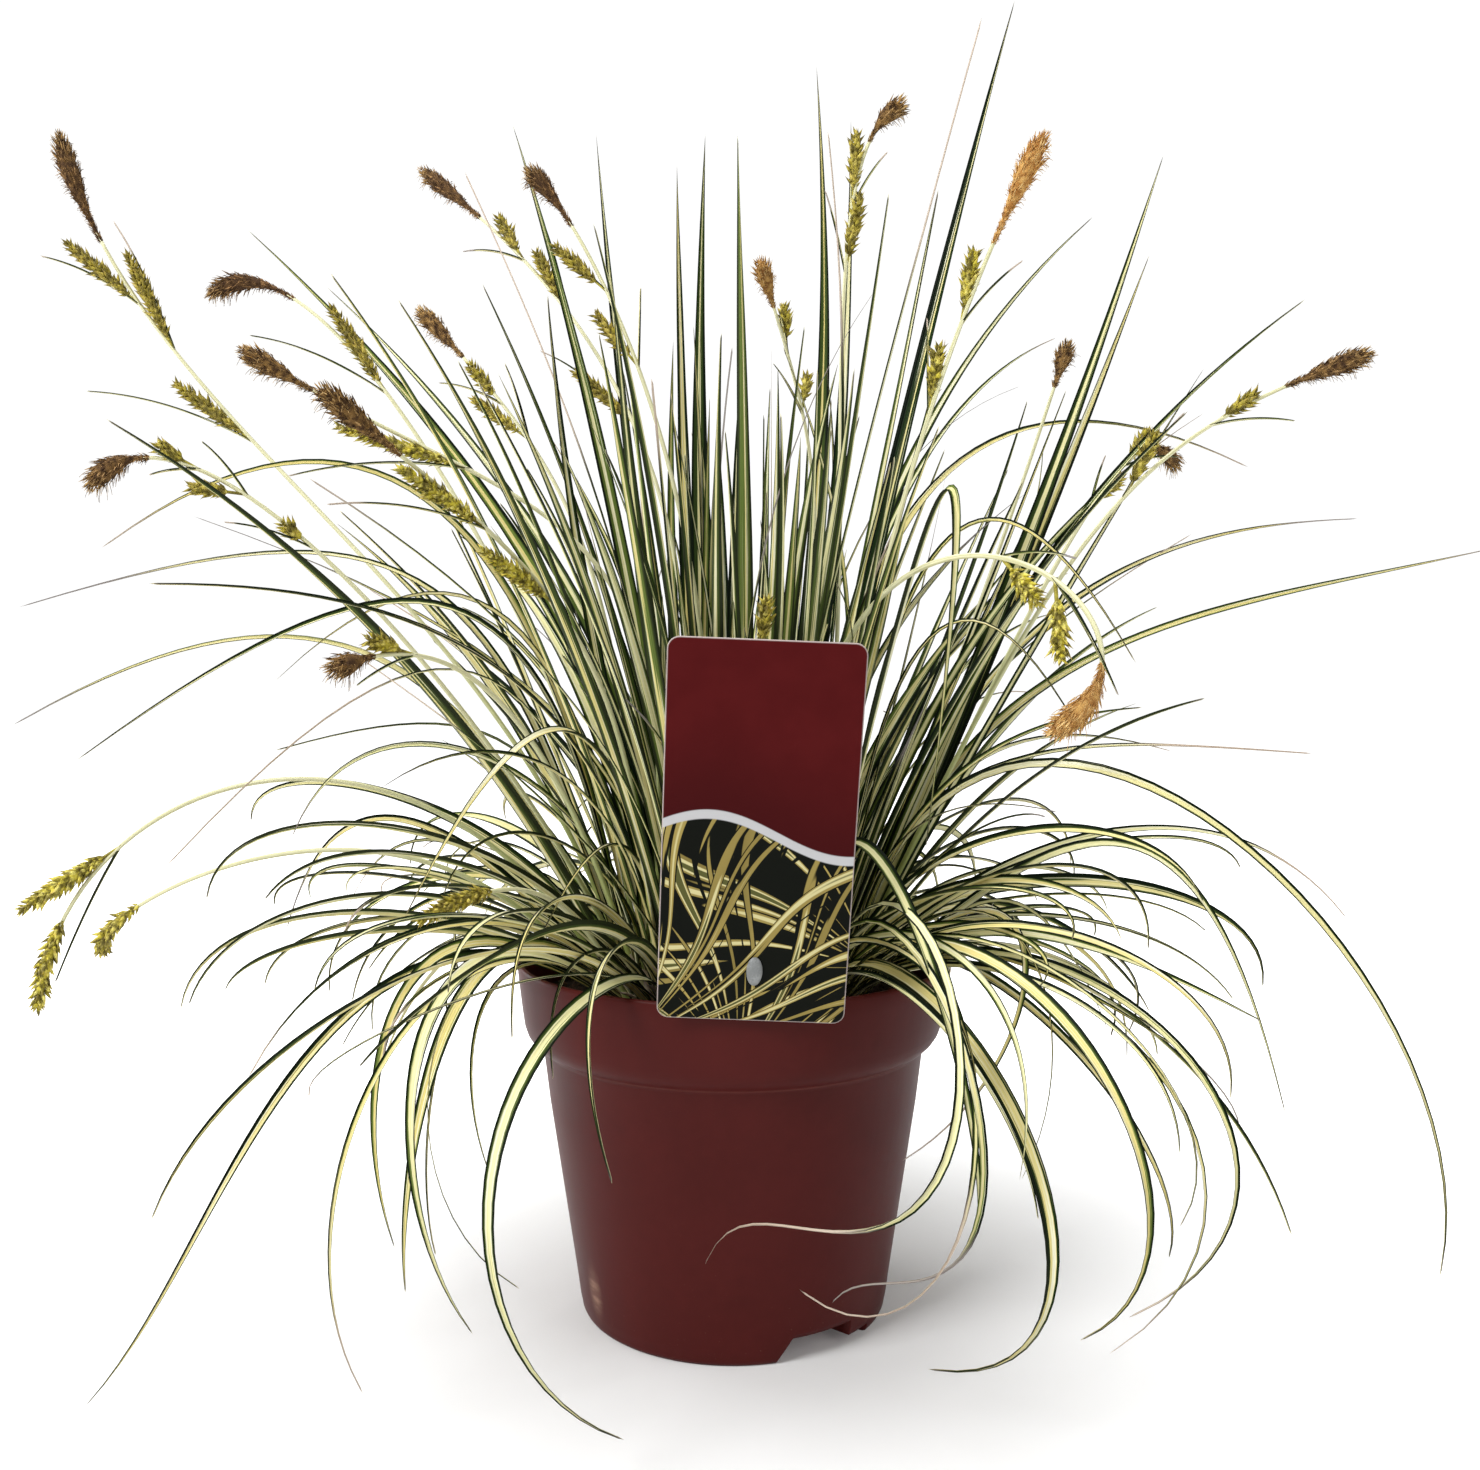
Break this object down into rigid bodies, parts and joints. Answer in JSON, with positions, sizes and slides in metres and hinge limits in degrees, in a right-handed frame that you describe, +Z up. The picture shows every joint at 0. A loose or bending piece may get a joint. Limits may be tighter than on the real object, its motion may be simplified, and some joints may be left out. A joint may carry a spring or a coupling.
{
  "type": "potted sedge",
  "caption": "Variegated sedge in flower, with long striped blades and drooping brown spikes, in a round nursery pot with a picture card on a stake at the rim.",
  "frame": {"origin": "centre of the pot's flat underside", "axes": "+Z up out of the pot, +X to the right as seen from the side with the picture card, -Y towards the card"},
  "size_m": [0.574, 0.4244, 0.5156],
  "materials": {
    "pot": "satin",
    "soil": "matte",
    "card": "satin",
    "stake": "satin",
    "leaf": "satin",
    "stem": "satin",
    "male_spike": "matte"
  },
  "bodies": {
    "root": {"pot": "pot", "potting_soil": "soil", "picture_card": "card", "card_stake": "stake", "flower_stem_01": "stem", "flower_stem_02": "stem", "flower_stem_03": "stem", "flower_stem_04": "stem", "flower_stem_05": "stem", "flower_stem_06": "stem", "flower_stem_07": "stem", "flower_stem_08": "stem", "flower_stem_09": "stem", "flower_stem_10": "stem", "flower_stem_11": "stem", "flower_stem_12": "stem", "flower_stem_13": "stem", "flower_stem_14": "stem", "flower_stem_15": "stem", "flower_stem_16": "stem", "flower_stem_17": "stem", "flower_stem_18": "stem", "flower_stem_19": "stem", "flower_stem_20": "stem", "male_spike_01": "male_spike", "male_spike_03": "male_spike", "male_spike_04": "male_spike", "male_spike_05": "male_spike", "male_spike_06": "male_spike", "male_spike_07": "male_spike", "male_spike_10": "male_spike", "male_spike_11": "male_spike", "male_spike_12": "male_spike", "male_spike_13": "male_spike", "male_spike_14": "male_spike", "male_spike_15": "male_spike", "male_spike_16": "male_spike", "male_spike_18": "male_spike", "male_spike_19": "male_spike", "male_spike_20": "male_spike", "leaf_tuft_01": "leaf", "leaf_tuft_02": "leaf", "leaf_tuft_03": "leaf", "leaf_tuft_04": "leaf", "leaf_tuft_05": "leaf", "leaf_tuft_06": "leaf", "leaf_tuft_07": "leaf", "leaf_tuft_08": "leaf", "leaf_tuft_09": "leaf", "leaf_tuft_10": "leaf", "leaf_tuft_11": "leaf", "leaf_tuft_12": "leaf", "leaf_tuft_13": "leaf", "leaf_tuft_14": "leaf", "leaf_tuft_15": "leaf", "leaf_tuft_16": "leaf", "leaf_tuft_17": "leaf", "leaf_tuft_18": "leaf", "leaf_tuft_19": "leaf"}
  },
  "joints": []
}
